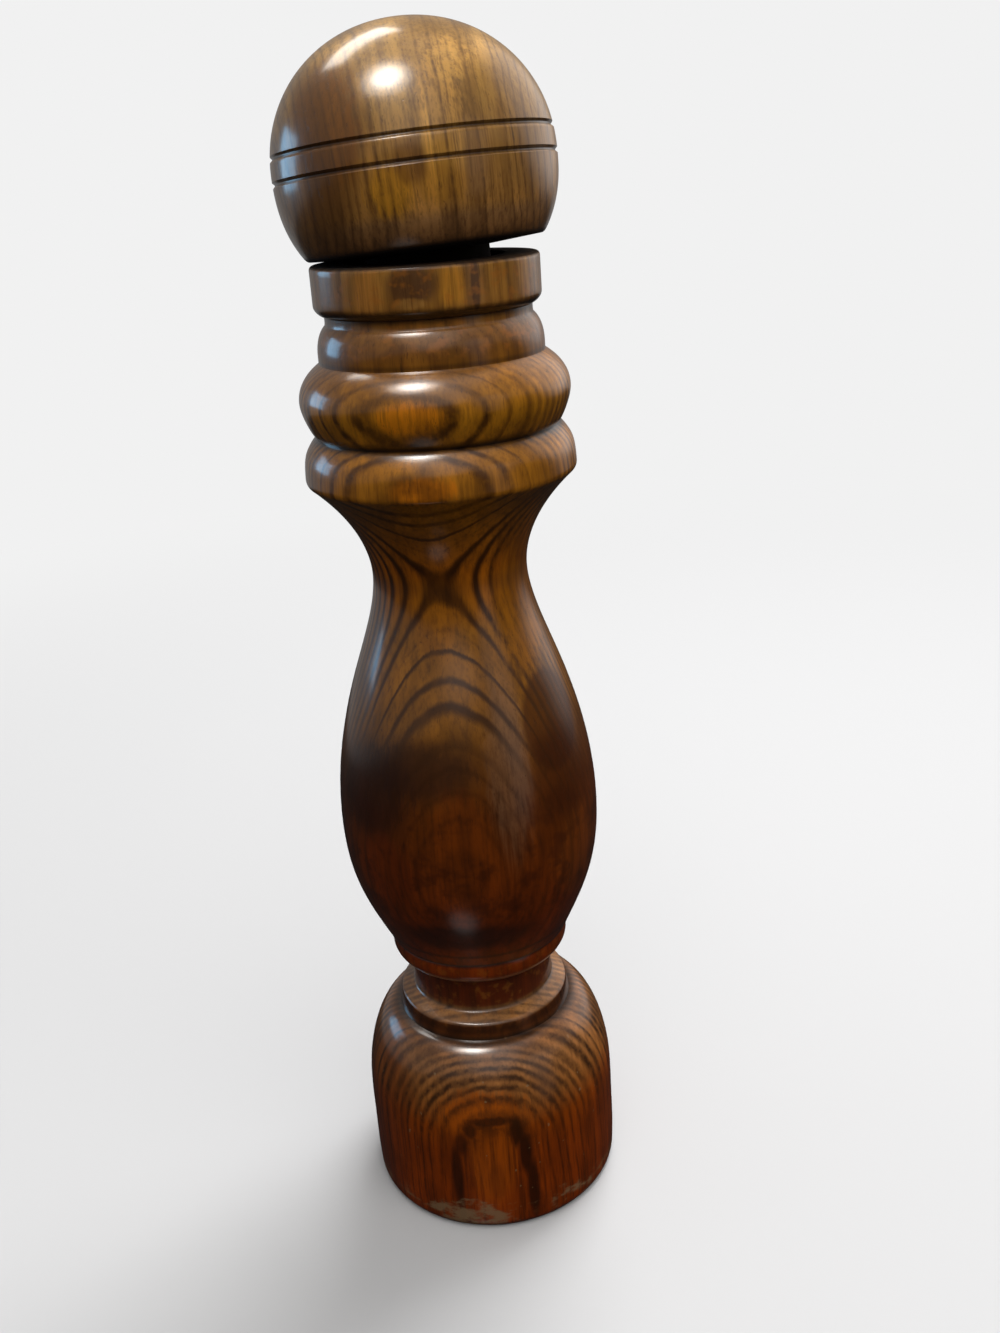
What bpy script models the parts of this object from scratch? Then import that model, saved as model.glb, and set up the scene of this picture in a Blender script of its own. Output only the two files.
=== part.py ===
"""Turned wood pepper mill, about 201 mm tall: a baluster-shaped body with a drilled
pepper chamber, and a ball head whose short tenon sits askew in the body's mouth.
The mill stands on the floor at z = 0, with its axis on +Z. The front is towards -Y.
Sizes are in metres. Outline points are given as (radius, height)."""

from math import asin, cos, hypot, pi, radians, sin

import bmesh
import bpy

SIDES = 40  # facets round each turned piece

# Foot and base drum, which swells very slightly at half its height
FOOT_RADIUS = 0.0214
FOOT_EDGE_HEIGHT = 0.0016
DRUM_RADIUS = 0.02297
DRUM_SWELL = 0.0002
DRUM_MIDDLE = 0.0120
DOME_START = 0.0212

# Fillet ring on the dome, and the cove above it
FILLET_RADIUS = 0.0158
FILLET_TOP_RADIUS = 0.0153
FILLET_BOTTOM = 0.0362
FILLET_TOP = 0.0394
FILLET_EDGE = 0.0005
COVE_RADIUS = 0.0146
COVE_HEIGHT = 0.0440

# Bead below the vase, with a groove on each side
BEAD_BOTTOM = 0.0474
BEAD_RADIUS = 0.0159
BEAD_HEIGHT = 0.0498
BEAD_TOP = 0.0517
BEAD_GROOVE_DEPTH = 0.0003

# Vase, neck and flare
VASE_FOOT_RADIUS = 0.0162
VASE_FOOT = 0.0520
BELLY_RADIUS = 0.02253
BELLY_HEIGHT = 0.0755
SHOULDER_RADIUS = 0.0175
SHOULDER_HEIGHT = 0.1020
SHOULDER_SLOPE = -19.2
NECK_RADIUS = 0.01278
NECK_HEIGHT = 0.1190
FLARE_RADIUS = 0.02174
FLARE_HEIGHT = 0.1361
FLARE_LIP = 0.0011  # height of the rounded lip
FLARE_LIP_DEPTH = 0.0003

# Torus between two creases
LOWER_CREASE_RADIUS = 0.0193
LOWER_CREASE = 0.1424
TORUS_RADIUS = 0.02133
TORUS_HEIGHT = 0.1478
UPPER_CREASE_RADIUS = 0.0176
UPPER_CREASE = 0.1542

# Band, groove and collar at the body's top
BAND_RADIUS = 0.0175
BAND_TOP = 0.1585
BAND_EDGE = 0.0007
GROOVE_RADIUS = 0.0162
GROOVE_BOTTOM = 0.1595
GROOVE_TOP = 0.1605
COLLAR_RADIUS = 0.01757
COLLAR_BOTTOM = 0.1622
COLLAR_EDGE = 0.0009
BODY_HEIGHT = 0.1680

# Mouth that takes the tenon, and the chamber drilled below it
MOUTH_RADIUS = 0.0118
MOUTH_CHAMFER = 0.0005
MOUTH_DEPTH = 0.0100
CHAMBER_RADIUS = 0.00925
CHAMBER_FLOOR = 0.0180

# Ball head, in its own frame: height 0 is the top of the collar, before the head leans
BALL_RADIUS = 0.02133
BALL_MIDDLE = 0.0129
BALL_RISE = 0.0202  # from the widest circle to the top
BALL_FALL = 0.0190  # below the widest circle, if the underside did not cut it
BALL_FULLNESS_ABOVE = 2.08  # 2 is an ellipse, more is squarer
BALL_FULLNESS_BELOW = 2.3
UNDERSIDE_HEIGHT = 0.0016
UNDERSIDE_RADIUS = 0.0175
BALL_BOTTOM = 0.0025
TENON_RADIUS = 0.00965
TENON_CHAMFER = 0.0005
TENON_BOTTOM = -0.0060
LINE_HEIGHTS = (0.01264, 0.01618)  # two incised lines round the ball
LINE_WIDTH = 0.0009
LINE_DEPTH = 0.00035

# How the head sits: shifted off the axis, leaning to the left and to the back
HEAD_SHIFT = (0.00048, 0.00063)
LEAN_LEFT = 3.2
LEAN_BACK = 2.9

WOOD_COLOUR = (0.20, 0.075, 0.022, 1.0)
HEAD_COLOUR = (0.25, 0.10, 0.032, 1.0)
VARNISH_ROUGHNESS = 0.28
CREASE_ANGLE = 32.0


class Outline:
    """Half outline of a turned piece. Headings are degrees from straight up, outwards positive."""

    def __init__(self, radius, height):
        self.points = [(radius, height)]

    def line(self, radius, height):
        self.points.append((radius, height))

    def curve(self, radius, height, leave, arrive, steps, pull=(0.34, 0.34)):
        """Cubic curve to a point, leaving and arriving at the two headings."""
        start = self.points[-1]
        reach = hypot(radius - start[0], height - start[1])
        leave, arrive = radians(leave), radians(arrive)
        first = (
            start[0] + reach * pull[0] * sin(leave),
            start[1] + reach * pull[0] * cos(leave),
        )
        second = (
            radius - reach * pull[1] * sin(arrive),
            height - reach * pull[1] * cos(arrive),
        )
        for step in range(1, steps + 1):
            t = step / steps
            weights = ((1 - t) ** 3, 3 * t * (1 - t) ** 2, 3 * t * t * (1 - t), t**3)
            corners = (start, first, second, (radius, height))
            self.points.append(
                tuple(sum(w * c[axis] for w, c in zip(weights, corners)) for axis in (0, 1))
            )


def ball_radius(height):
    """Radius of the ball at a height in the head's frame."""
    above = height > BALL_MIDDLE
    reach = BALL_RISE if above else BALL_FALL
    fullness = BALL_FULLNESS_ABOVE if above else BALL_FULLNESS_BELOW
    share = min(1.0, abs(height - BALL_MIDDLE) / reach)
    return BALL_RADIUS * (1 - share**fullness) ** (1 / fullness)


def follow_ball(outline, end, steps):
    """Adds points on the ball from the last one up to the height end, evenly by angle."""
    start = outline.points[-1][1]
    low, high = (asin((height - BALL_MIDDLE) / BALL_RISE) for height in (start, end))
    for step in range(1, steps + 1):
        angle = low + (high - low) * step / steps
        height = BALL_MIDDLE + BALL_RISE * sin(angle)
        outline.line(ball_radius(height), height)


def foot_and_drum(outline):
    outline.line(FOOT_RADIUS, 0)
    outline.curve(DRUM_RADIUS - DRUM_SWELL, FOOT_EDGE_HEIGHT, 90, 8, steps=3)
    outline.curve(DRUM_RADIUS, DRUM_MIDDLE, 4, 0, steps=2)
    outline.curve(DRUM_RADIUS - DRUM_SWELL / 2, DOME_START, 0, -3, steps=1)
    outline.curve(FILLET_RADIUS, FILLET_BOTTOM, -3, -83, steps=9, pull=(0.34, 0.28))


def fillet_and_cove(outline):
    outline.line(FILLET_TOP_RADIUS, FILLET_TOP - FILLET_EDGE)
    outline.curve(FILLET_TOP_RADIUS - FILLET_EDGE, FILLET_TOP, -9, -50, steps=2)
    outline.curve(COVE_RADIUS, COVE_HEIGHT, -20, 0, steps=3)
    outline.line(COVE_RADIUS, BEAD_BOTTOM - BEAD_GROOVE_DEPTH)
    outline.line(COVE_RADIUS - BEAD_GROOVE_DEPTH, BEAD_BOTTOM)
    outline.curve(BEAD_RADIUS, BEAD_HEIGHT, 55, 0, steps=4)
    outline.curve(BEAD_RADIUS - BEAD_GROOVE_DEPTH, BEAD_TOP, 0, -30, steps=2)


def vase_and_flare(outline):
    outline.line(VASE_FOOT_RADIUS, VASE_FOOT)
    outline.curve(BELLY_RADIUS, BELLY_HEIGHT, 25, 0, steps=8, pull=(0.40, 0.42))
    outline.curve(SHOULDER_RADIUS, SHOULDER_HEIGHT, 0, SHOULDER_SLOPE, steps=6)
    outline.curve(NECK_RADIUS, NECK_HEIGHT, SHOULDER_SLOPE, 0, steps=5, pull=(0.33, 0.29))
    lip_radius = FLARE_RADIUS - FLARE_LIP_DEPTH
    outline.curve(lip_radius, FLARE_HEIGHT - FLARE_LIP, 0, 48, steps=9)
    outline.curve(FLARE_RADIUS, FLARE_HEIGHT, 44, -3, steps=2)


def torus(outline):
    outline.curve(LOWER_CREASE_RADIUS, LOWER_CREASE, -3, -27, steps=4, pull=(0.41, 0.46))
    outline.curve(TORUS_RADIUS, TORUS_HEIGHT, 40, 0, steps=4, pull=(0.20, 0.28))
    outline.curve(UPPER_CREASE_RADIUS, UPPER_CREASE, 0, -30, steps=6, pull=(0.64, 0.42))


def band_and_collar(outline):
    outline.line(BAND_RADIUS, BAND_TOP - BAND_EDGE)
    outline.curve(BAND_RADIUS - BAND_EDGE, BAND_TOP, -8, -75, steps=2)
    outline.line(GROOVE_RADIUS, GROOVE_BOTTOM)
    outline.line(GROOVE_RADIUS, GROOVE_TOP)
    outline.curve(COLLAR_RADIUS, COLLAR_BOTTOM, 70, 0, steps=3)
    outline.line(COLLAR_RADIUS, BODY_HEIGHT - COLLAR_EDGE)
    outline.curve(COLLAR_RADIUS - COLLAR_EDGE, BODY_HEIGHT, 0, -90, steps=3, pull=(0.39, 0.39))


def mouth_and_chamber(outline):
    outline.line(MOUTH_RADIUS + MOUTH_CHAMFER, BODY_HEIGHT)
    outline.line(MOUTH_RADIUS, BODY_HEIGHT - MOUTH_CHAMFER)
    outline.line(MOUTH_RADIUS, BODY_HEIGHT - MOUTH_DEPTH)
    outline.line(CHAMBER_RADIUS, BODY_HEIGHT - MOUTH_DEPTH)
    outline.line(CHAMBER_RADIUS, CHAMBER_FLOOR)
    outline.line(0, CHAMBER_FLOOR)


def body_outline():
    outline = Outline(0, 0)
    foot_and_drum(outline)
    fillet_and_cove(outline)
    vase_and_flare(outline)
    torus(outline)
    band_and_collar(outline)
    mouth_and_chamber(outline)
    return outline.points


def head_outline():
    outline = Outline(0, TENON_BOTTOM)
    outline.line(TENON_RADIUS - TENON_CHAMFER, TENON_BOTTOM)
    outline.line(TENON_RADIUS, TENON_BOTTOM + TENON_CHAMFER)
    outline.line(TENON_RADIUS, UNDERSIDE_HEIGHT)
    outline.line(UNDERSIDE_RADIUS, UNDERSIDE_HEIGHT)
    outline.curve(ball_radius(BALL_BOTTOM), BALL_BOTTOM, 90, 32, steps=2)
    for height, steps in zip(LINE_HEIGHTS, (5, 2)):
        follow_ball(outline, height - LINE_WIDTH / 2, steps)
        outline.line(ball_radius(height) - LINE_DEPTH, height)
        outline.line(ball_radius(height + LINE_WIDTH / 2), height + LINE_WIDTH / 2)
    follow_ball(outline, BALL_MIDDLE + BALL_RISE, 9)
    return outline.points


def varnished_wood(name, colour):
    material = bpy.data.materials.new(name)
    material.use_nodes = True
    shader = material.node_tree.nodes["Principled BSDF"]
    shader.inputs["Base Color"].default_value = colour
    shader.inputs["Roughness"].default_value = VARNISH_ROUGHNESS
    shader.inputs["Metallic"].default_value = 0.0
    return material


def turned(name, outline, material):
    """Spins a half outline once round the Z axis and adds it to the scene as an object."""
    bm = bmesh.new()
    corners = [bm.verts.new((radius, 0, height)) for radius, height in outline]
    edges = [bm.edges.new(pair) for pair in zip(corners, corners[1:])]
    bmesh.ops.spin(
        bm,
        geom=corners + edges,
        cent=(0, 0, 0),
        axis=(0, 0, 1),
        angle=2 * pi,
        steps=SIDES,
        use_merge=True,
    )
    bmesh.ops.remove_doubles(bm, verts=bm.verts, dist=1e-6)
    bmesh.ops.recalc_face_normals(bm, faces=bm.faces)
    mesh = bpy.data.meshes.new(name)
    bm.to_mesh(mesh)
    bm.free()
    mesh.shade_smooth()
    mesh.set_sharp_from_angle(angle=radians(CREASE_ANGLE))
    mesh.materials.append(material)
    piece = bpy.data.objects.new(name, mesh)
    bpy.context.scene.collection.objects.link(piece)
    return piece


def build():
    for old in list(bpy.data.objects):
        bpy.data.objects.remove(old, do_unlink=True)

    turned("turned_body", body_outline(), varnished_wood("body_wood", WOOD_COLOUR))
    head = turned("ball_head", head_outline(), varnished_wood("head_wood", HEAD_COLOUR))

    # The head turns about the mill's axis, so it hangs on an empty there
    turning_axis = bpy.data.objects.new("head_turning_axis", None)
    turning_axis.location = (0, 0, BODY_HEIGHT)
    bpy.context.scene.collection.objects.link(turning_axis)
    head.parent = turning_axis
    head.location = (*HEAD_SHIFT, 0)
    head.rotation_euler = (-radians(LEAN_BACK), -radians(LEAN_LEFT), 0)


build()
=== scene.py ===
from math import asin, cos, hypot, pi, radians, sin

import bpy
from mathutils import Euler, Matrix, Vector, noise


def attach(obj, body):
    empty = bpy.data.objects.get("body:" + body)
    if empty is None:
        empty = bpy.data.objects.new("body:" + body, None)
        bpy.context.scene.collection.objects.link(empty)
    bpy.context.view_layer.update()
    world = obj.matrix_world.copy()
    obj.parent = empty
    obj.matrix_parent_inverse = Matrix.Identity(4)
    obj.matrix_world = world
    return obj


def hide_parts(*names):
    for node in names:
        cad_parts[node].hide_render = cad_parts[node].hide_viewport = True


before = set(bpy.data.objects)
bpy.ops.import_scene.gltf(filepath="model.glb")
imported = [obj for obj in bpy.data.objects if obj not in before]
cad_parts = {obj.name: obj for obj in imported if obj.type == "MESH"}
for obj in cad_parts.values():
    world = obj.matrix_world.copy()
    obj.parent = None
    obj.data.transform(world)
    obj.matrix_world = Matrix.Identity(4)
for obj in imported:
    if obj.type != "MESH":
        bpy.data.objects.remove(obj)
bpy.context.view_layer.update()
scene = bpy.context.scene
mm = 0.001
print("frame loaded")


# camera, at the photo's height and angle

cameraSettings = {
    "place": (0.0, -0.20532, 0.18029),
    "turnRight": 1.984,  # degrees
    "tiltDown": 21.184,
    "roll": -4.033,
    "lens": 34.865,  # mm on a frame 36 mm high
    "frameHeight": 36.0,
}


def makeCamera(settings):
    turn, tilt, roll = (radians(settings[name]) for name in ("turnRight", "tiltDown", "roll"))
    ahead = Vector((sin(turn) * cos(tilt), cos(turn) * cos(tilt), -sin(tilt)))
    level = Vector((cos(turn), -sin(turn), 0))
    above = level.cross(ahead)
    right = level * cos(roll) + above * sin(roll)
    up = above * cos(roll) - level * sin(roll)
    data = bpy.data.cameras.new("photo_camera")
    data.sensor_fit = "VERTICAL"
    data.sensor_height = settings["frameHeight"]
    data.lens = settings["lens"]
    data.clip_start = 0.01
    camera = bpy.data.objects.new("photo_camera", data)
    facing = Matrix((right, up, -ahead)).transposed().to_4x4()
    camera.matrix_world = Matrix.Translation(settings["place"]) @ facing
    scene.collection.objects.link(camera)
    scene.camera = camera


makeCamera(cameraSettings)
scene.view_settings.view_transform = "Standard"
print("camera placed")


# shader maths

class Wire:  # one socket, so that shader maths reads as plain sums
    def __init__(self, recipe, socket):
        self.recipe = recipe
        self.socket = socket

    def maths(self, operation, *values, clamp=False):
        settings = {"operation": operation, "use_clamp": clamp}
        return self.recipe.node("ShaderNodeMath", settings, dict(enumerate(values)))

    def __add__(self, other):
        return self.maths("ADD", self, other)

    __radd__ = __add__

    def __sub__(self, other):
        return self.maths("SUBTRACT", self, other)

    def __rsub__(self, other):
        return self.maths("SUBTRACT", other, self)

    def __mul__(self, other):
        return self.maths("MULTIPLY", self, other)

    __rmul__ = __mul__

    def __truediv__(self, other):
        return self.maths("DIVIDE", self, other)

    def __abs__(self):
        return self.maths("ABSOLUTE", self)

    def most(self, other):
        return self.maths("MAXIMUM", self, other)

    def fraction(self):
        return self.maths("FRACT", self)

    def held(self):  # kept between 0 and 1
        return self.maths("ADD", self, 0.0, clamp=True)

    def rise(self, low, high):  # smooth step from 0 at low to 1 at high, which may be the lower one
        settings = {"interpolation_type": "SMOOTHSTEP"}
        if low < high:
            return self.recipe.node("ShaderNodeMapRange", settings, {0: self, 1: low, 2: high})
        return 1 - self.recipe.node("ShaderNodeMapRange", settings, {0: self, 1: high, 2: low})

    def bell(self, middle, halfWidth):  # 1 at middle, smoothly down to 0 at halfWidth from it
        return abs(self - middle).rise(halfWidth, 0.0)


class Recipe:  # adds nodes to one tree
    def __init__(self, tree):
        self.tree = tree
        tree.nodes.clear()

    def node(self, kind, settings=None, sockets=None, output=0):
        node = self.tree.nodes.new(kind)
        for name, value in (settings or {}).items():
            if name == "stops":
                self.setStops(node.color_ramp, value)
            else:
                setattr(node, name, value)
        for name, value in (sockets or {}).items():
            if isinstance(value, Wire):
                self.tree.links.new(value.socket, node.inputs[name])
            else:
                node.inputs[name].default_value = value
        return Wire(self, node.outputs[output]) if len(node.outputs) else node

    def setStops(self, ramp, stops):
        while len(ramp.elements) < len(stops):
            ramp.elements.new(1.0)
        for element, (position, colour) in zip(ramp.elements, stops):
            element.position = position
            element.color = colour

    def mix(self, factor, first, second, blend="MIX"):
        settings = {"data_type": "RGBA", "blend_type": blend}
        return self.node("ShaderNodeMix", settings, {0: factor, 6: first, 7: second}, output=2)

    def stretched(self, place, scale):  # a vector with its x, y and z scaled apart
        return self.node("ShaderNodeVectorMath", {"operation": "MULTIPLY"}, {0: place, 1: scale})

    def noise(self, place, scale=1.0, detail=2.0, roughness=0.5):
        sockets = {"Vector": place, "Scale": scale, "Detail": detail, "Roughness": roughness}
        return self.node("ShaderNodeTexNoise", {"noise_dimensions": "3D"}, sockets)

    def ramp(self, value, stops):  # colours along a value, with the stops in its own units
        low, high = stops[0][0], stops[-1][0]
        stops = [((at - low) / (high - low), colour) for at, colour in stops]
        return self.node("ShaderNodeValToRGB", {"stops": stops}, {0: (value - low) / (high - low)})

    def parts(self, value, kind="ShaderNodeSeparateColor"):  # the three numbers in a colour or vector
        split = self.node(kind, None, {0: value}).socket.node
        return [Wire(self, output) for output in split.outputs]

    def length(self, vector):
        return self.node("ShaderNodeVectorMath", {"operation": "LENGTH"}, {0: vector}, output=1)

    def greyColour(self, value):
        return self.node("ShaderNodeCombineColor", None, {0: value, 1: value, 2: value})

    def woodSpace(self, origin=(0, 0, 0), lean=(0, 0, 0)):  # a piece's own mm, as a vector and apart
        place = self.node("ShaderNodeTexCoord", output=3)
        sockets = {"Vector": place, "Location": origin, "Rotation": lean}
        place = self.node("ShaderNodeMapping", {"vector_type": "TEXTURE"}, sockets)
        place = self.node("ShaderNodeVectorMath", {"operation": "SCALE"}, {0: place, "Scale": 1 / mm})
        return place, self.parts(place, "ShaderNodeSeparateXYZ")


def opaque(red, green, blue):
    return (red, green, blue, 1.0)


def newMaterial(name):
    material = bpy.data.materials.new(name)
    material.use_nodes = True
    return material, Recipe(material.node_tree)


# the two kinds of wood

bodyWood = {
    # height in mm, pale wood, dark lines, and the lines' clearness, fine lines and spread
    "tones": (
        (0, opaque(0.310, 0.044, 0.0010), opaque(0.026, 0.006, 0.0010), (0.45, 0.45, 0.55)),
        (17, opaque(0.320, 0.050, 0.0012), opaque(0.028, 0.007, 0.0014), (0.45, 0.40, 0.60)),
        (22, opaque(0.360, 0.066, 0.0022), opaque(0.040, 0.011, 0.0020), (0.70, 0.10, 0.95)),
        (27, opaque(0.380, 0.130, 0.0260), opaque(0.050, 0.018, 0.0055), (0.85, 0.05, 1.10)),
        (33, opaque(0.390, 0.160, 0.0480), opaque(0.054, 0.022, 0.0085), (0.85, 0.05, 1.10)),
        (36.2, opaque(0.300, 0.110, 0.0280), opaque(0.055, 0.020, 0.0070), (0.70, 0.05, 0.90)),
        # from 36.8 to 38.8, the ring's side is painted dark as shade
        (36.8, opaque(0.110, 0.028, 0.0050), opaque(0.026, 0.007, 0.0020), (0.50, 0.05, 0.90)),
        (38.8, opaque(0.120, 0.031, 0.0055), opaque(0.026, 0.007, 0.0020), (0.50, 0.05, 0.90)),
        (39.4, opaque(0.400, 0.175, 0.0520), opaque(0.080, 0.032, 0.0120), (0.60, 0.05, 0.90)),
        (40.6, opaque(0.400, 0.175, 0.0520), opaque(0.080, 0.032, 0.0120), (0.60, 0.05, 0.90)),
        (41.4, opaque(0.210, 0.031, 0.0022), opaque(0.036, 0.009, 0.0020), (0.20, 0.05, 0.80)),
        (48, opaque(0.240, 0.034, 0.0022), opaque(0.036, 0.009, 0.0020), (0.20, 0.05, 0.80)),
        # from 56 to 98 the belly is darker: partly its own tone, partly painted shade
        (56, opaque(0.250, 0.036, 0.0018), opaque(0.028, 0.007, 0.0014), (0.25, 0.05, 0.60)),
        (84, opaque(0.150, 0.034, 0.0020), opaque(0.030, 0.008, 0.0014), (0.22, 0.10, 0.60)),
        (92, opaque(0.190, 0.060, 0.0060), opaque(0.040, 0.013, 0.0030), (0.35, 0.10, 0.65)),
        (98, opaque(0.265, 0.098, 0.0100), opaque(0.066, 0.024, 0.0060), (0.80, 0.10, 0.70)),
        (112, opaque(0.350, 0.128, 0.0085), opaque(0.064, 0.022, 0.0040), (0.80, 0.10, 0.65)),
        # at 122 the neck is redder: partly its own tone, partly painted light bounced from the flare
        (122, opaque(0.500, 0.135, 0.0050), opaque(0.052, 0.015, 0.0022), (0.85, 0.10, 0.60)),
        (134, opaque(0.440, 0.160, 0.0120), opaque(0.085, 0.026, 0.0026), (0.70, 0.10, 0.75)),
        (147, opaque(0.580, 0.225, 0.0110), opaque(0.078, 0.026, 0.0030), (0.82, 0.05, 0.80)),
        (156, opaque(0.250, 0.094, 0.0130), opaque(0.085, 0.026, 0.0050), (0.25, 0.05, 0.65)),
        (168, opaque(0.500, 0.225, 0.0400), opaque(0.090, 0.034, 0.0080), (0.45, 0.10, 0.75)),
    ),
    "bands": 0.25,
    "bandScale": (0.33, 0.33, 0.02),
    "pore": opaque(0.022, 0.007, 0.002),
    # colour of dirt, and of painted shade in the creases, mouth and rim
    "dirtAndShade": opaque(0.010, 0.005, 0.003),
    "bare": opaque(0.30, 0.19, 0.095),
    "mottle": opaque(0.045, 0.009, 0.0020),  # darker cloudiness of the belly
    "mottleAt": (71, 24, 0.60),  # height and reach in mm, strength
    "gold": opaque(0.48, 0.155, 0.018),  # small clear spots from ring to bead, and from the band up
    "goldAt": (44.5, 9.5),  # height and reach
    "goldAbove": (154.5, 156, 0.8),  # heights over which it sets in, share
    "goldStrength": 0.55,
    # how the growth layers run, in mm of depth
    "growth": {
        "bend": 0.005,  # for each mm squared to the side
        "neckBend": (104, 32, 0.012),  # height, reach, and how much less bend there
        "forward": 0.99,  # for each mm towards the viewer
        "turn": (0.00118, 0.008),  # for each mm to the side: a share of the height, and a constant
        "slope": 0.050,  # for each mm up
        "drumSlope": (0.027, 0.55),  # the same in the drum, and where it starts
        "torusStep": (138, 146, 0.35),  # heights between which the layers shift, mm
        "wander": ((0.07, 0.07, 0.018), 1.0),  # scale of the noise, mm
        "ripple": ((0.40, 0.40, 0.08), 0.45),
    },
    "rim": (167.4, 167.9),  # heights over which the varnish ends and painted shade sets in
    "mouth": (12.9, 12.4),  # radii within which there is none, and painted shade
    # height of a crease darkened by dirt and painted shade, half its width, strength
    "creases": (
        (36.3, 0.9, 0.85), (38.0, 1.4, 0.50), (40.5, 0.5, 0.50), (47.2, 1.0, 0.90), (51.9, 0.9, 0.85),
        (54.6, 0.7, 0.55), (142.6, 1.3, 0.97), (153.9, 0.7, 0.50), (161.0, 1.5, 0.97),
    ),
    # dark lines counted from the back, as mm towards the front, line number, strength, width
    "lines": (
        (-25.0, 0, 0.7, 0.5), (6.9, 22, 1.0, 0.9), (8.1, 23, 0.1, 0.4), (9.2, 24, 1.0, 0.4),
        (11.1, 25, 1.0, 0.6), (12.7, 26, 1.0, 0.7), (14.9, 27, 0.7, 0.7), (15.9, 28, 0.8, 0.6),
        (16.9, 29, 0.9, 0.6), (17.8, 30, 0.9, 0.6), (18.6, 31, 1.0, 0.7), (19.3, 32, 0.9, 0.6),
        (20.0, 33, 0.8, 0.5), (21.05, 34, 1.0, 1.0), (23.0, 35, 0.4, 0.5), (25.0, 36, 0.6, 0.5),
    ),
    # middle and reach in mm, tone, strength
    "patches": (
        ((3.6, -17.2, 164.9), (2.6, 4, 3.2), opaque(0.68, 0.28, 0.028), 0.85),
        ((6.9, -16.2, 165.0), (0.8, 4, 5.0), opaque(0.06, 0.022, 0.008), 0.85),
        ((-1.9, -17.5, 165.6), (4.2, 4, 3.2), opaque(0.08, 0.035, 0.022), 0.75),
        ((-8.5, -15.4, 164.5), (2.2, 4, 4.0), opaque(0.62, 0.24, 0.040), 0.60),
        ((-2.5, -17.4, 162.9), (2.4, 4, 0.9), opaque(0.60, 0.28, 0.060), 0.70),
        ((-3.8, -20.9, 147.1), (6.4, 4, 3.0), opaque(0.80, 0.25, 0.007), 0.85),
        ((-3.3, -21.4, 136.9), (5.6, 4, 2.2), opaque(0.78, 0.22, 0.006), 0.85),
        ((-3.1, -13.0, 114.4), (3.8, 5, 7.0), opaque(0.40, 0.13, 0.006), 0.60),
        ((10.5, -9.0, 113.0), (4.5, 8, 11), opaque(0.400, 0.135, 0.006), 0.60),
        # painted dark reflection on the vase's right
        ((14.8, -14.0, 86.5), (6.5, 9, 9.5), opaque(0.070, 0.016, 0.003), 0.65),
        ((17.0, -12.5, 72.0), (6, 9, 9), opaque(0.260, 0.065, 0.007), 0.50),
        # painted pale reflection, a sheen on the vase
        ((6.4, -18.3, 89.0), (4.0, 6, 18), opaque(0.225, 0.110, 0.052), 0.50),
        # the next two are a painted dark reflection on the vase's left
        ((-8.0, -18.0, 91.0), (12, 8, 5.8), opaque(0.038, 0.013, 0.006), 0.80),
        ((-15.0, -13.0, 86.0), (9, 10, 10), opaque(0.026, 0.009, 0.006), 0.80),
        # painted orange reflection low on the belly's left
        ((-14.5, -17.0, 73.0), (6, 8, 7), opaque(0.200, 0.028, 0.003), 0.50),
        # painted shade along the underside of the belly
        ((-3.0, -18.5, 59.8), (13, 7, 3.6), opaque(0.030, 0.010, 0.006), 0.75),
        ((-2.0, -22.3, 79.5), (5.5, 5, 9.5), opaque(0.20, 0.038, 0.002), 0.60),
        ((-3.0, -22.0, 25.2), (9.5, 6, 5.0), opaque(0.46, 0.090, 0.002), 0.85),
        ((-1.2, -22.9, 16.5), (5.0, 4, 11), opaque(0.44, 0.085, 0.002), 0.80),
        ((-0.6, -22.9, 11.0), (1.7, 4, 4.5), opaque(0.13, 0.024, 0.003), 0.40),
        ((-6.4, -22.0, 19.4), (1.1, 4, 2.6), opaque(0.045, 0.009, 0.002), 0.70),
        ((-4.7, -22.3, 22.3), (1.4, 4, 1.8), opaque(0.045, 0.009, 0.002), 0.70),
        ((-1.0, -22.7, 24.0), (4.4, 4, 1.0), opaque(0.045, 0.009, 0.002), 0.80),
        ((3.5, -22.6, 21.5), (1.3, 4, 3.6), opaque(0.028, 0.006, 0.001), 0.85),
        ((4.8, -22.4, 16.5), (1.3, 4, 5.0), opaque(0.028, 0.006, 0.001), 0.90),
        ((5.9, -22.1, 8.5), (1.3, 4, 7.0), opaque(0.028, 0.006, 0.001), 0.85),
        ((-19.5, -10.0, 25.0), (8, 12, 10), opaque(0.22, 0.040, 0.004), 0.55),
        ((-7.6, -21.6, 12.0), (1.1, 4, 8.0), opaque(0.030, 0.007, 0.002), 0.75),
    ),
    # the same for patches with a clear edge; this one is a painted dark reflection on the vase's right
    "edgedPatches": (
        ((14.4, -13.0, 96.0), (6.0, 9, 9.3), opaque(0.058, 0.013, 0.003), 0.75),
    ),
    # middle and reach in mm where the dark lines are faint, and how faint
    "faint": (
        ((-8.0, -22.0, 10.0), (4.0, 5, 14), 0.40),
        ((-0.5, -22.5, 25.2), (3.5, 5, 2.2), 0.40),
        ((10.5, -8.0, 115.0), (5.5, 9, 15), 0.75),
        ((14.0, -15.0, 148.0), (8, 9, 6), 0.35),
        ((14.0, -15.0, 138.0), (8, 9, 5), 0.35),
    ),
    "scuffHeight": 3.2,
    "scuffScale": (0.30, 0.30, 0.55),
    "scuffFade": 0.055,  # for each mm from the scuff height
    # middle and reach in mm of the worse scuffs, and how much worse
    "scuffs": (((-6.5, -22.0, 3.6), (9, 6, 5), 0.17), ((11.5, -19.5, 4.0), (4, 5, 4), 0.07)),
    "scuffStrength": 0.75,
    "flecksBelow": (40, 30),
    "fleckStrength": 0.5,
}

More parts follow.
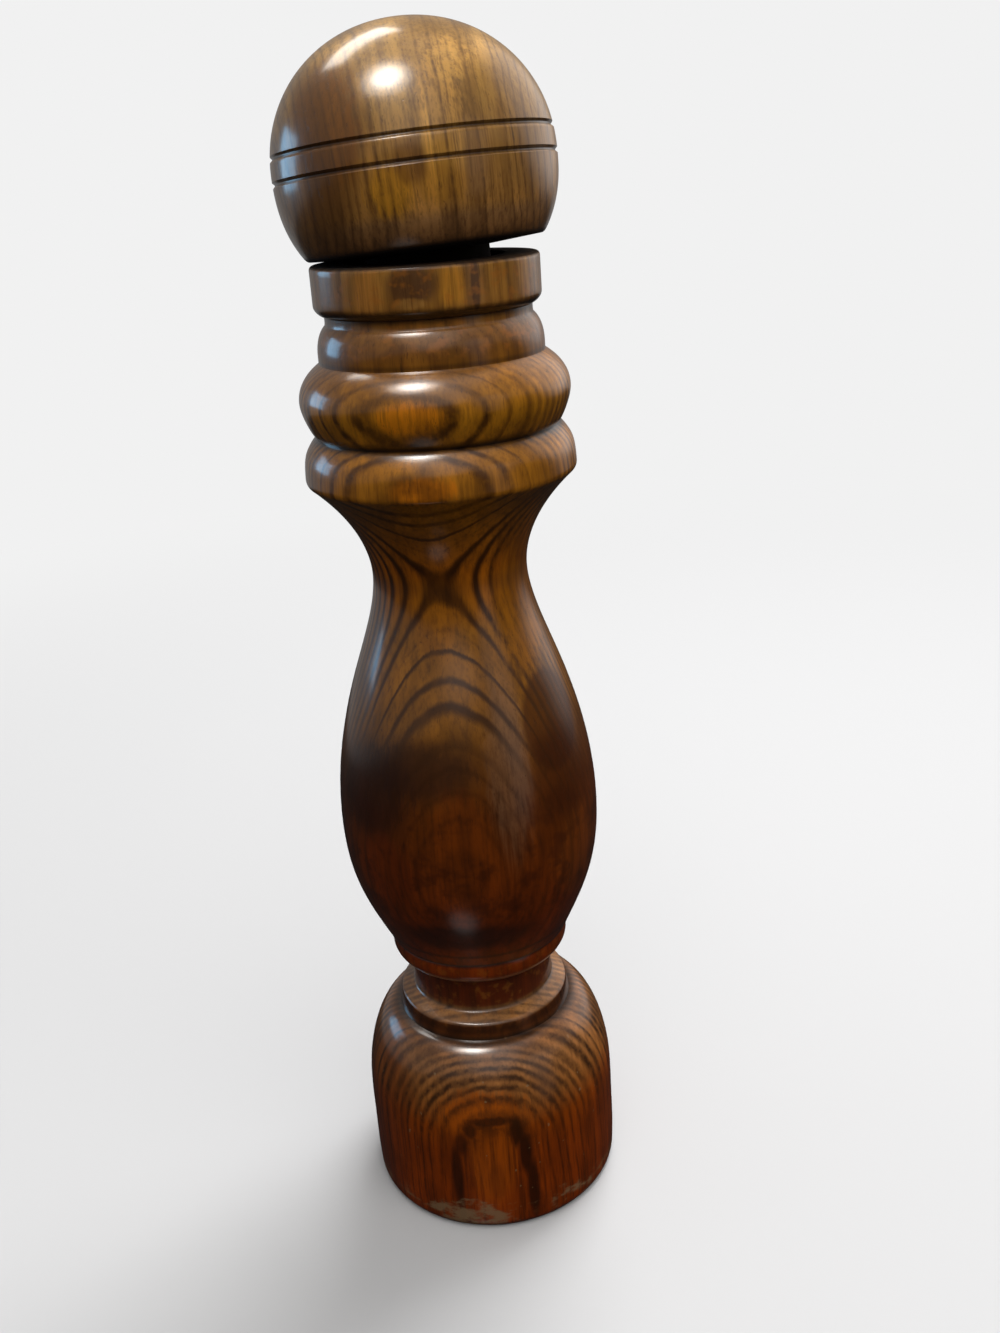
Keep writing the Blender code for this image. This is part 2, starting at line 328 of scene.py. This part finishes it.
headWood = {
    "tones": (
        # the two lowest rows are painted shade on the tenon and underside
        (-6, opaque(0.050, 0.018, 0.0050), opaque(0.020, 0.008, 0.003), (0.5, 0.2, 0.5)),
        (1.5, opaque(0.100, 0.042, 0.0120), opaque(0.030, 0.012, 0.004), (0.5, 0.2, 0.5)),
        (3.0, opaque(0.350, 0.155, 0.0480), opaque(0.090, 0.038, 0.013), (0.7, 0.3, 0.6)),
        (5.0, opaque(0.430, 0.205, 0.0680), opaque(0.100, 0.040, 0.012), (0.7, 0.3, 0.6)),
        (6.5, opaque(0.560, 0.252, 0.0570), opaque(0.110, 0.042, 0.010), (0.7, 0.3, 0.6)),
        (12, opaque(0.570, 0.265, 0.0550), opaque(0.120, 0.046, 0.010), (0.7, 0.3, 0.6)),
        (20, opaque(0.560, 0.285, 0.0500), opaque(0.125, 0.050, 0.010), (0.7, 0.3, 0.6)),
        (33.1, opaque(0.500, 0.270, 0.0600), opaque(0.150, 0.068, 0.016), (0.6, 0.3, 0.6)),
    ),
    "bands": 0.45,
    "bandScale": (0.33, 0.07, 0.02),  # longer from front to back, as the dark lines are
    "growth": {
        "back": 0.10,  # mm across for each mm to the back
        "wander": ((0.07, 0.07, 0.03), 2.0),
        "ripple": ((0.60, 0.60, 0.10), 0.7),
    },
    "underside": (2.3, 1.5),  # heights over which the varnish ends and painted shade sets in
    "grimeAndShade": (0.7, 0.70),  # dirt and painted shade in an incised line: reach in widths of the line, strength
    "pore": opaque(0.030, 0.012, 0.005),
    # colour of dirt, and of painted shade in the lines and under the head
    "dirtAndShade": opaque(0.012, 0.007, 0.004),
    # dark lines from left to right, as mm across, line number, strength, width
    "lines": (
        (-23.0, 0, 0.5, 0.5), (-12.7, 8, 0.8, 0.8), (-10.5, 10, 0.7, 0.7), (-7.2, 12, 0.9, 1.0),
        (-4.4, 14, 0.3, 0.6), (-1.0, 16, 0.3, 0.5), (2.9, 18, 0.9, 0.7), (5.0, 20, 0.3, 0.6),
        (7.2, 21, 0.9, 0.8), (9.4, 23, 0.3, 0.5), (11.5, 24, 0.8, 0.6), (13.6, 26, 0.8, 0.7),
        (23.0, 33, 0.5, 0.5),
    ),
    "patches": (
        ((4.2, -20.5, 17.5), (3.6, 9, 9.5), opaque(0.90, 0.44, 0.070), 0.85),
        ((-3.7, -20.8, 9.1), (3.8, 9, 3.8), opaque(0.70, 0.30, 0.022), 0.85),
        ((3.4, -20.5, 9.4), (3.8, 9, 2.8), opaque(0.62, 0.26, 0.022), 0.60),
        ((6.4, -16.1, 25.1), (3.2, 9, 3.4), opaque(0.90, 0.46, 0.070), 0.85),
        ((-11.5, -17.0, 19.0), (6.8, 12, 11), opaque(0.200, 0.062, 0.006), 0.85),
        ((-13.5, -15.0, 8.0), (5.0, 12, 6), opaque(0.200, 0.085, 0.022), 0.60),
        ((-0.6, -20.8, 12.5), (2.6, 9, 3.4), opaque(0.180, 0.068, 0.013), 0.70),
        ((15.0, -14.0, 17.0), (6.0, 12, 11), opaque(0.250, 0.125, 0.030), 0.60),
    ),
    "edgedPatches": (),
    "faint": (),
}


# grain that both pieces share
grain = {
    "streaks": (1.5, 1.5, 0.06),  # scales of the noise, for each mm
    "threads": (4.2, 4.2, 0.22),
    "blotches": (0.16, 0.16, 0.07),
    "waver": 0.18,  # mm that the threads push the dark lines about
    "lineReach": 0.65,  # of the space between two lines, for a line of width 1
    "lineCore": 0.15,  # of that reach, fully dark
    "darkestShade": 0.20,
    "shadeRange": 1.6,
    "ragged": 0.9,  # how much the streaks fray a patch, in shares of its reach
    "edgedRagged": 0.3,  # and a clear-edged patch, in shares of that
    "edgedRise": (1.0, 0.82),
    "unbrokenFrom": (62, 44),  # heights between which the lines of the vase run unbroken
    "unbrokenTo": (126, 134),
    "brokenAbove": 0.7,  # share of the breaks above them
    "breaks": 0.45,
    "streakStrength": 0.40,
    "poreStrength": 0.50,
    "hiddenShade": 0.92,  # strength of the painted shade where the varnish never reached
}

# the varnish, and the relief under it
varnish = {
    "rough": 0.25,
    "streakRough": 0.12,
    "wornRough": 0.3,
    "bareRough": 0.6,
    "poreSink": 0.7,  # relief, in shares of the bump
    "threadRise": 0.2,
    "streakRise": 0.4,
    "wornSink": 1.2,
    "bumpStrength": 0.30,
    "bumpDepth": 0.00008,  # m
    "coat": 0.85,
    "wornCoat": 0.6,
    "coatRough": 0.15,
    "specular": 0.25,
    "ior": 1.5,
}


def growthLines(recipe, depth, lines, spread):
    last = lines[-1][1]
    stops = [(at, (number / last, strength, width, 1.0)) for at, number, strength, width in lines]
    share, strength, width = recipe.parts(recipe.ramp(depth, stops))
    year = share * last + 0.5
    fromLine = abs(year.fraction() - 0.5)
    settings = {"interpolation_type": "SMOOTHSTEP"}
    edge = width * spread * grain["lineReach"]
    sockets = {0: fromLine, 1: edge * grain["lineCore"], 2: edge}
    line = 1 - recipe.node("ShaderNodeMapRange", settings, sockets)
    return line * strength, year


# 1 around the middle, 0 past the reach, changing between the two shares of the reach in edge
def near(recipe, place, middle, reach, ragged=0.0, edge=(1.15, 0.55)):
    offset = recipe.node("ShaderNodeVectorMath", {"operation": "SUBTRACT"}, {0: place, 1: middle})
    return (recipe.length(recipe.stretched(offset, tuple(1 / size for size in reach))) + ragged).rise(*edge)


def woodColour(recipe, settings, place, depth, height):
    tones = settings["tones"]
    pale = recipe.ramp(height, [(at, pale) for at, pale, dark, lines in tones])
    dark = recipe.ramp(height, [(at, dark) for at, pale, dark, lines in tones])
    lineLook = recipe.ramp(height, [(at, opaque(*lines)) for at, pale, dark, lines in tones])
    clear, fine, spread = recipe.parts(lineLook)
    streaks = recipe.noise(recipe.stretched(place, grain["streaks"]), detail=3.0, roughness=0.65)
    threads = recipe.noise(recipe.stretched(place, grain["threads"]), detail=2.0, roughness=0.7)
    blotch = recipe.noise(recipe.stretched(place, grain["blotches"]), detail=3.0, roughness=0.6)
    bands = recipe.noise(recipe.stretched(place, settings["bandScale"]), detail=1.0)
    line, year = growthLines(recipe, depth + (threads - 0.5) * grain["waver"], settings["lines"], spread)
    between = abs((year * 3).fraction() - 0.5).rise(0.36, 0.10) * streaks.rise(0.40, 0.62)
    early = year.fraction().rise(0.42, 0.58) * year.fraction().rise(0.95, 0.72)
    pores = threads.rise(0.58, 0.68) * (early * 0.6 + 0.4)
    shade = blotch * grain["shadeRange"] + grain["darkestShade"]
    wood = recipe.mix(1.0, pale, recipe.greyColour(shade), "MULTIPLY")
    ragged = (streaks - 0.5) * grain["ragged"]
    for middle, reach, colour, strength in settings["patches"]:
        wood = recipe.mix(near(recipe, place, middle, reach, ragged) * strength, wood, colour)
    for middle, reach, colour, strength in settings["edgedPatches"]:
        edgedPatch = near(recipe, place, middle, reach, ragged * grain["edgedRagged"], grain["edgedRise"])
        wood = recipe.mix(edgedPatch * strength, wood, colour)
    for middle, reach, share in settings["faint"]:
        line = line * (1 - near(recipe, place, middle, reach, ragged) * share)
    wood = recipe.mix(bands.rise(0.45, 0.62) * settings["bands"], wood, dark)
    broken = height.rise(*grain["unbrokenFrom"])
    broken = broken + height.rise(*grain["unbrokenTo"]) * grain["brokenAbove"]
    breaks = 1 - recipe.noise(place, 0.55, 2.0, 0.6).rise(0.60, 0.36) * broken * grain["breaks"]
    patchy = blotch.rise(0.30, 0.55) * 0.35 + 0.85
    wood = recipe.mix((line * clear * breaks * patchy).held(), wood, dark)
    wood = recipe.mix(between * fine, wood, dark)
    wood = recipe.mix(streaks.rise(0.42, 0.72) * grain["streakStrength"], wood, dark)
    wood = recipe.mix(pores * grain["poreStrength"], wood, settings["pore"])
    return wood, (streaks, threads, pores)


def waves(recipe, place, scale, size):
    return (recipe.noise(recipe.stretched(place, scale), detail=2.0) - 0.5) * size


def makeBodyWood(settings):
    material, recipe = newMaterial("body_wood")
    place, (x, y, z) = recipe.woodSpace()

    # growth runs nearly flat towards the viewer, turning a little to the left with height
    growth = settings["growth"]
    neck, reach, straighter = growth["neckBend"]
    turn, turnAtFoot = growth["turn"]
    drumSlope, drumStart = growth["drumSlope"]
    low, high, step = growth["torusStep"]
    bend = growth["bend"] - z.bell(neck, reach) * straighter
    depth = x * x * bend - y * growth["forward"] - x * (z * turn + turnAtFoot)
    depth = depth - (z * growth["slope"]).most(z * drumSlope + drumStart) - z.rise(low, high) * step
    depth = depth + waves(recipe, place, *growth["wander"]) + waves(recipe, place, *growth["ripple"])
    wood, figure = woodColour(recipe, settings, place, depth, z)

    height, reach, strength = settings["mottleAt"]
    mottle = recipe.noise(place, 0.20, 3.0, 0.65).rise(0.46, 0.62) * z.bell(height, reach)
    wood = recipe.mix(mottle * strength, wood, settings["mottle"])
    low, high, strength = settings["goldAbove"]
    golden = z.bell(*settings["goldAt"]) + z.rise(low, high) * strength
    gold = recipe.noise(place, 0.6, 2.0, 0.6).rise(0.50, 0.70) * golden
    wood = recipe.mix(gold * settings["goldStrength"], wood, settings["gold"])

    # dirt and painted shade in the creases, and painted shade in the mouth and on its rim, which is bare of
    # varnish
    for height, reach, strength in settings["creases"]:
        wood = recipe.mix(z.bell(height, reach) * strength, wood, settings["dirtAndShade"])
    # painted shade on the collar's top and in the mouth, under the head
    fromAxis = recipe.length(recipe.stretched(place, (1, 1, 0)))
    hidden = z.rise(*settings["rim"]).most(fromAxis.rise(*settings["mouth"]))
    wood = recipe.mix(hidden * grain["hiddenShade"], wood, settings["dirtAndShade"])

    # scuffs along the foot's edge, most of all in front, and a few pale flecks above
    worn = recipe.noise(recipe.stretched(place, settings["scuffScale"]), detail=5.0, roughness=0.65)
    for middle, reach, worse in settings["scuffs"]:
        worn = worn + near(recipe, place, middle, reach) * worse
    worn = (worn - abs(z - settings["scuffHeight"]) * settings["scuffFade"]).rise(0.47, 0.66)
    fleck = recipe.noise(place, 0.8, 1.0, 0.4).rise(0.76, 0.78) * z.rise(*settings["flecksBelow"])
    worn = (worn * settings["scuffStrength"] + fleck * settings["fleckStrength"]).held()
    wood = recipe.mix(worn, wood, settings["bare"])
    finish(recipe, wood, figure, hidden, worn)
    return material


def makeHeadWood(settings):
    material, recipe = newMaterial("head_wood")
    place, (x, y, z) = recipe.woodSpace(headPlace, headLean)
    growth = settings["growth"]
    depth = x + y * growth["back"]
    depth = depth + waves(recipe, place, *growth["wander"]) + waves(recipe, place, *growth["ripple"])
    wood, figure = woodColour(recipe, settings, place, depth, z)

    # dirt and painted shade in the incised lines, and painted shade on the tenon and underside, which are
    # bare of varnish
    reach, strength = settings["grimeAndShade"]
    for height in headShape["lines"]:
        grimeAndShade = z.bell(height, headShape["lineWidth"] * reach) * strength
        wood = recipe.mix(grimeAndShade, wood, settings["dirtAndShade"])
    hidden = z.rise(*settings["underside"])
    wood = recipe.mix(hidden * grain["hiddenShade"], wood, settings["dirtAndShade"])
    finish(recipe, wood, figure, hidden)
    return material


def finish(recipe, colour, figure, hidden, worn=0.0):
    streaks, threads, pores = figure
    rough = streaks * varnish["streakRough"] + varnish["rough"] + worn * varnish["wornRough"]
    rough = (rough + hidden * varnish["bareRough"]).held()
    relief = pores * -varnish["poreSink"] + threads * varnish["threadRise"]
    relief = relief + streaks * varnish["streakRise"] - worn * varnish["wornSink"]
    sockets = {
        "Strength": varnish["bumpStrength"],
        "Distance": varnish["bumpDepth"],
        "Height": relief,
    }
    bump = recipe.node("ShaderNodeBump", None, sockets)
    sockets = {
        "Base Color": colour,
        "Roughness": rough,
        "Normal": bump,
        "IOR": varnish["ior"],
        "Specular IOR Level": varnish["specular"],
        "Coat Weight": varnish["coat"] - worn * varnish["wornCoat"] - hidden * varnish["coat"],
        "Coat Roughness": varnish["coatRough"],
        "Coat IOR": varnish["ior"],
    }
    shader = recipe.node("ShaderNodeBsdfPrincipled", None, sockets)
    recipe.node("ShaderNodeOutputMaterial", None, {"Surface": shader})


# turned pieces

class Outline:  # half outline of a turned piece, as (radius, height) in mm
    def __init__(self, radius, height):
        self.points = [(radius, height)]

    def line(self, radius, height, rows=1):
        start = self.points[-1]
        for row in range(1, rows + 1):
            share = row / rows
            across, up = (radius - start[0]) * share, (height - start[1]) * share
            self.points.append((start[0] + across, start[1] + up))

    # headings are degrees from straight up, outwards positive, and pull is how firmly each is kept
    def curve(self, radius, height, leave, arrive, rows, pull=(0.34, 0.34)):
        start = self.points[-1]
        reach = hypot(radius - start[0], height - start[1])
        leave, arrive = radians(leave), radians(arrive)
        first = (start[0] + reach * pull[0] * sin(leave), start[1] + reach * pull[0] * cos(leave))
        second = (radius - reach * pull[1] * sin(arrive), height - reach * pull[1] * cos(arrive))
        corners = (start, first, second, (radius, height))
        for row in range(1, rows + 1):
            t = row / rows
            weights = ((1 - t) ** 3, 3 * t * (1 - t) ** 2, 3 * t * t * (1 - t), t**3)
            pairs = list(zip(weights, corners))
            spot = (sum(weight * corner[axis] for weight, corner in pairs) for axis in (0, 1))
            self.points.append(tuple(spot))


bodyShape = {
    "sides": 192,
    "inset": 0.01,  # mm kept inside the frame's own outline
    "wobble": 0.035,  # mm, unevenness of the hand-finished surface
    "wobbleSize": 9.0,
    # a straight run is radius, height, rows; a curve is radius, height, headings, rows and pull
    "outline": (
        (21.4, 0.0, 8),  # underside
        (22.77, 1.6, 90, 8, 8),  # rounded foot edge
        (22.97, 12.0, 4, 0, 14),  # drum
        (22.87, 21.2, 0, -3, 12),
        (15.8, 36.2, -3, -83, 34, (0.34, 0.28)),  # dome
        (15.4, 38.7, 5),  # fillet ring
        (15.05, 39.25, -8, -64, 4),
        (13.1, 40.2, 6),  # its bevelled top
        (12.7, 40.9, -64, -4, 4),
        (12.7, 46.4, 6),  # cove
        (13.4, 47.3, 4, 70, 4),
        (14.3, 47.4, 2),
        (15.9, 49.8, 55, 0, 10),  # bead
        (15.6, 51.7, 0, -30, 7),
        (16.2, 52.0, 3),
        (22.53, 75.5, 25, 0, 32, (0.40, 0.42)),  # belly
        (17.5, 102.0, 0, -19.2, 30),
        (12.78, 119.0, -19.2, 0, 22, (0.33, 0.29)),  # neck
        (21.44, 135.0, 0, 48, 28),
        (21.74, 136.1, 44, -3, 6),  # flare's lip
        (20.90, 140.4, -3, -31, 12, (0.40, 0.30)),
        (19.3, 142.35, -31, -54, 9),
        (21.33, 147.8, 40, 0, 14, (0.20, 0.28)),  # torus
        (20.6, 150.6, 0, -30, 9),
        (18.93, 152.6, -30, -50, 8),
        (17.65, 153.55, -50, -60, 4),
        (17.65, 154.6, 2),  # band
        (16.1, 159.2, 0, -47, 14),
        (16.05, 159.6, 2),  # groove
        (16.05, 160.5, 2),
        (17.57, 162.2, 70, 0, 8),  # collar
        (17.57, 167.3, 8),
        (16.90, 168.0, 0, -90, 7, (0.42, 0.42)),
        (12.3, 168.0, 4),
        (11.8, 167.5, 2),  # mouth
        (11.8, 158.0, 6),
        (9.25, 158.0, 2),
        (9.25, 18.0, 20),  # chamber
        (0.0, 18.0, 3),
    ),
}

headShape = {
    "sides": 192,
    "inset": 0.01,
    "wobble": 0.035,
    "wobbleSize": 9.0,
    "radius": 21.33,
    "middle": 12.9,
    "rise": 20.15,  # from the middle to the top
    "fall": 19.0,  # from the middle down to where the ball would close
    "fullAbove": 2.08,  # 2 is an ellipse, more is squarer
    "fullBelow": 2.3,
    "bottom": 2.5,
    "underside": ((9.65, 0.78), (17.6, 1.36)),  # rests nearly on the collar at the back left
    "tenon": (9.65, -6.0),  # radius, and height of its end
    "tenonEdge": 0.5,
    "lines": (12.64, 16.18),  # heights of the two incised lines
    "lineRound": 1.4,  # more rounds the edges of a line and sharpens its bottom
    "lineWidth": 0.9,
    "lineDepth": 0.35,
    "shift": (0.48, 0.63),  # to the right and to the back
    "leanLeft": 3.2,  # degrees
    "leanBack": 2.9,
    "seat": 168.0,  # height of the collar that it sits on
}


def bodyOutline(settings):
    outline = Outline(0.0, 0.0)
    for radius, height, *rest in settings["outline"]:
        if len(rest) == 1:
            outline.line(radius, height, rest[0])
        else:
            outline.curve(radius, height, *rest)
    return outline.points


def ballRadius(settings, height):
    above = height > settings["middle"]
    reach = settings["rise"] if above else settings["fall"]
    fullness = settings["fullAbove"] if above else settings["fullBelow"]
    share = min(1.0, abs(height - settings["middle"]) / reach)
    return settings["radius"] * (1 - share**fullness) ** (1 / fullness)


def followBall(outline, settings, end, rows):
    start = outline.points[-1][1]
    middle, rise = settings["middle"], settings["rise"]
    low, high = (asin(min(1.0, (height - middle) / rise)) for height in (start, end))
    for row in range(1, rows + 1):
        height = middle + rise * sin(low + (high - low) * row / rows)
        outline.line(ballRadius(settings, height), height)


def headOutline(settings):
    tenonRadius, tenonBottom = settings["tenon"]
    edge = settings["tenonEdge"]
    outline = Outline(0.0, tenonBottom)
    outline.line(tenonRadius - edge, tenonBottom, 3)
    outline.line(tenonRadius, tenonBottom + edge)
    for (radius, height), rows in zip(settings["underside"], (6, 4)):
        outline.line(radius, height, rows)
    outline.curve(ballRadius(settings, settings["bottom"]), settings["bottom"], 90, 32, 6)
    half = settings["lineWidth"] / 2
    for height, rows in zip(settings["lines"], (26, 8)):
        followBall(outline, settings, height - half, rows)
        for row in range(1, 9):  # a rounded V
            share = row / 8
            cut = settings["lineDepth"] * sin(pi * share) ** settings["lineRound"]
            at = height - half + 2 * half * share
            outline.line(ballRadius(settings, at) - cut, at)
    followBall(outline, settings, settings["middle"] + settings["rise"], 46)
    return outline.points


sharpOver = 38  # degrees between two faces, past which their edge stays sharp


def turned(name, points, settings, material, place=Matrix()):
    sides = settings["sides"]
    verts, faces, rings = [], [], []
    for radius, height in points:
        if radius < 0.001:
            rings.append([len(verts)])
            verts.append(Vector((0, 0, height)) * mm)
            continue
        rings.append(list(range(len(verts), len(verts) + sides)))
        for side in range(sides):
            angle = 2 * pi * side / sides
            out = Vector((cos(angle), sin(angle), 0))
            spot = out * radius + Vector((0, 0, height))
            worn = settings["wobble"] * abs(noise.noise(spot / settings["wobbleSize"]))
            flat = 0.0 if height == 0 else worn
            verts.append((out * (radius - settings["inset"] - flat) + Vector((0, 0, height))) * mm)
    for low, high in zip(rings, rings[1:]):
        for side in range(sides):
            after = (side + 1) % sides
            if len(low) == 1:
                faces.append((low[0], high[after], high[side]))
            elif len(high) == 1:
                faces.append((low[side], low[after], high[0]))
            else:
                faces.append((low[side], low[after], high[after], high[side]))
    mesh = bpy.data.meshes.new(name)
    mesh.from_pydata([place @ vert for vert in verts], [], faces)
    mesh.validate()
    mesh.shade_smooth()
    mesh.set_sharp_from_angle(angle=radians(sharpOver))
    mesh.materials.append(material)
    piece = bpy.data.objects.new(name, mesh)
    scene.collection.objects.link(piece)
    return piece


bodyPiece = turned("body_turning", bodyOutline(bodyShape), bodyShape, makeBodyWood(bodyWood))
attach(bodyPiece, "mill_body")
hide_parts("turned_body")
print("body turned")

headLean = Euler((-radians(headShape["leanBack"]), -radians(headShape["leanLeft"]), 0))
headPlace = Vector((*headShape["shift"], headShape["seat"])) * mm
headSeat = Matrix.Translation(headPlace) @ headLean.to_matrix().to_4x4()
headPiece = turned("head_turning", headOutline(headShape), headShape, makeHeadWood(headWood), headSeat)
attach(headPiece, "mill_head")
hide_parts("ball_head")
print("head turned")


# stage and light

stageSettings = {
    "sides": 96,
    "inset": 0.0,
    "wobble": 0.0,
    "wobbleSize": 1.0,
    "flatRadius": 1100,  # mm, as in the pieces
    "bendRadius": 600,
    "wallHeight": 2600,
    "drop": 0.00005,  # m below the underside, so that the two faces don't share a plane
    "paper": opaque(0.60, 0.60, 0.605),
    "glow": 0.88,  # the far paper's own brightness
    "shadeNear": 0.10,  # m from the mill, where real shading starts to give way to the glow
    "shadeFar": 0.55,
}


def makeStage(settings):
    outline = Outline(0.0, 0.0)
    flat, bend = settings["flatRadius"], settings["bendRadius"]
    outline.line(flat, 0.0, 8)
    outline.curve(flat + bend, bend, 90, 0, 16, (0.39, 0.39))
    outline.line(flat + bend, settings["wallHeight"], 4)
    material, recipe = newMaterial("stage_paper")
    fromMill = recipe.length(recipe.node("ShaderNodeTexCoord", output=3))
    far = fromMill.rise(settings["shadeNear"], settings["shadeFar"])
    paper = recipe.node("ShaderNodeBsdfDiffuse", None, {"Color": settings["paper"]})
    glow = recipe.node("ShaderNodeEmission", None, {"Strength": settings["glow"]})
    mixed = recipe.node("ShaderNodeMixShader", None, {0: far, 1: paper, 2: glow})
    recipe.node("ShaderNodeOutputMaterial", None, {"Surface": mixed})
    stage = turned("stage", outline.points, settings, material)
    stage.location = (0, 0, -settings["drop"])
    stage.visible_glossy = False
    stage.visible_diffuse = False
    stage.visible_shadow = False


makeStage(stageSettings)

# azimuth is from the front (-Y) towards the right (+X), elevation from level, both in degrees
lampSettings = {
    "round_lamp": {
        "from": (-36, 70), "far": 1.0, "size": (0.20, 0.20), "shape": "DISK",
        "power": 1.2, "colour": (1.0, 0.98, 0.95), "gloss": True, "diffuse": False,
    },
    "round_shade": {
        "from": (-36, 70), "far": 1.02, "size": (0.34, 0.34), "shape": "DISK",
        "power": 4.0, "colour": (1.0, 0.97, 0.93), "gloss": True, "diffuse": False,
    },
    "round_glow": {
        "from": (-36, 69), "far": 1.04, "size": (0.54, 0.54), "shape": "DISK",
        "power": 3.6, "colour": (1.0, 0.95, 0.88), "gloss": True, "diffuse": False,
    },
    "back_window": {
        "from": (-150, 55), "far": 1.0, "size": (0.52, 0.22), "shape": "RECTANGLE",
        "power": 2.4, "colour": (1.0, 0.95, 0.88), "gloss": True, "diffuse": False,
    },
    "blue_window": {
        "from": (-117, 11), "far": 1.0, "size": (0.38, 0.36), "shape": "RECTANGLE",
        "power": 1.55, "colour": (0.32, 0.66, 1.0), "gloss": True, "diffuse": False,
    },
    "soft_key": {
        "from": (26, 60), "far": 0.85, "size": (0.8, 0.8), "shape": "RECTANGLE",
        "power": 3.2, "colour": (1.0, 0.98, 0.95), "gloss": False, "diffuse": True,
    },
    "soft_back": {
        "from": (146, 60), "far": 0.9, "size": (0.45, 0.45), "shape": "RECTANGLE",
        "power": 8.0, "colour": (1.0, 1.0, 1.0), "gloss": False, "diffuse": True,
    },
}
lampAim = Vector((0, 0, 0.10))


def direction(azimuth, elevation):
    azimuth, elevation = radians(azimuth), radians(elevation)
    return Vector((sin(azimuth) * cos(elevation), -cos(azimuth) * cos(elevation), sin(elevation)))


def makeLamps(lamps):
    for name, lamp in lamps.items():
        out = direction(*lamp["from"])
        data = bpy.data.lights.new(name, "AREA")
        data.shape = lamp["shape"]
        data.size, data.size_y = lamp["size"]
        data.energy = lamp["power"]
        data.color = lamp["colour"]
        light = bpy.data.objects.new(name, data)
        light.location = lampAim + out * lamp["far"]
        light.rotation_euler = out.to_track_quat("Z", "Y").to_euler()
        light.visible_camera = False
        light.visible_glossy = lamp["gloss"]
        light.visible_diffuse = lamp["diffuse"]
        scene.collection.objects.link(light)


makeLamps(lampSettings)

# how bright the room is that the varnish mirrors
roomSettings = {
    "above": 0.22,  # over the skyline
    "below": 0.012,
    "skyline": (-0.12, 0.27),  # how it climbs towards the right and towards the viewer
    "skylineBlur": (-0.03, 0.04),
    # azimuth, elevation, inner and outer reach in degrees, brightness added
    "patches": (
        (0, 40, 12, 32, 0.60),
        (0, 85, 12, 40, 0.50),
        (-22, -63, 3, 11, 0.40),
        (46, 14, 7, 20, 0.35),
        (125, 20, 16, 36, 0.75),
        (48, -8, 3, 14, 0.18),
    ),
}


def makeRoom(settings):
    world = bpy.data.worlds.new("studio")
    world.use_nodes = True
    scene.world = world
    recipe = Recipe(world.node_tree)
    place = recipe.node("ShaderNodeTexCoord", output=0)
    x, y, z = recipe.parts(place, "ShaderNodeSeparateXYZ")
    climbX, climbY = settings["skyline"]
    over = (z + x * climbX + y * climbY).rise(*settings["skylineBlur"])
    strength = over * (settings["above"] - settings["below"]) + settings["below"]
    for azimuth, elevation, inner, outer, bright in settings["patches"]:
        sockets = {0: place, 1: direction(azimuth, elevation)}
        facing = recipe.node("ShaderNodeVectorMath", {"operation": "DOT_PRODUCT"}, sockets, output=1)
        strength = strength + facing.rise(cos(radians(outer)), cos(radians(inner))) * bright
    background = recipe.node("ShaderNodeBackground", None, {"Color": opaque(1, 1, 1), "Strength": strength})
    recipe.node("ShaderNodeOutputWorld", None, {"Surface": background})


makeRoom(roomSettings)
print("stage and lights set")
